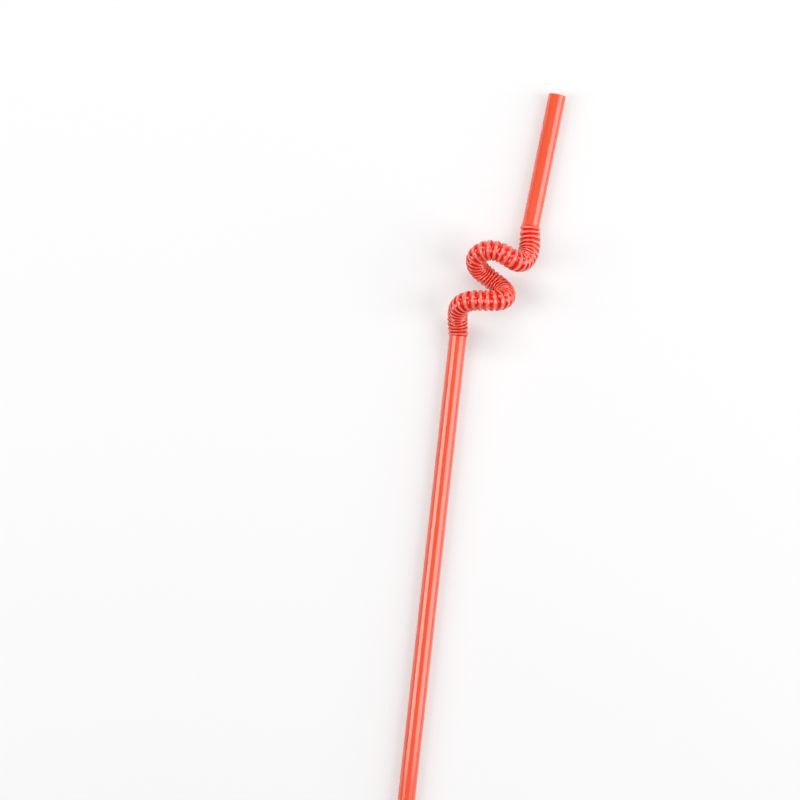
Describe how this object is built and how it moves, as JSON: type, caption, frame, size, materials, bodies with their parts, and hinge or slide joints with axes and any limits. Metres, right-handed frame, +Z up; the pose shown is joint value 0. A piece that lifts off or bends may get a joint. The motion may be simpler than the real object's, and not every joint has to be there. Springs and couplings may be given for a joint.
{
  "type": "plastic drinking straw",
  "caption": "Hollow plastic drinking straw: a long tube, bellows pulled out into a loose curl, and a short mouth tube.",
  "frame": {"origin": "under the middle of the straw as it lies, on the surface that it lies on", "axes": "+Y along the long tube towards the mouth end, +Z up, +X to the side that the curl sets the mouth tube over to"},
  "size_m": [0.0324, 0.25, 0.0205],
  "materials": {
    "straw_plastic": "thin, glossy, slightly translucent red plastic, drawn lengthwise"
  },
  "bodies": {
    "root": {"drinking_straw": "straw_plastic"}
  },
  "joints": []
}
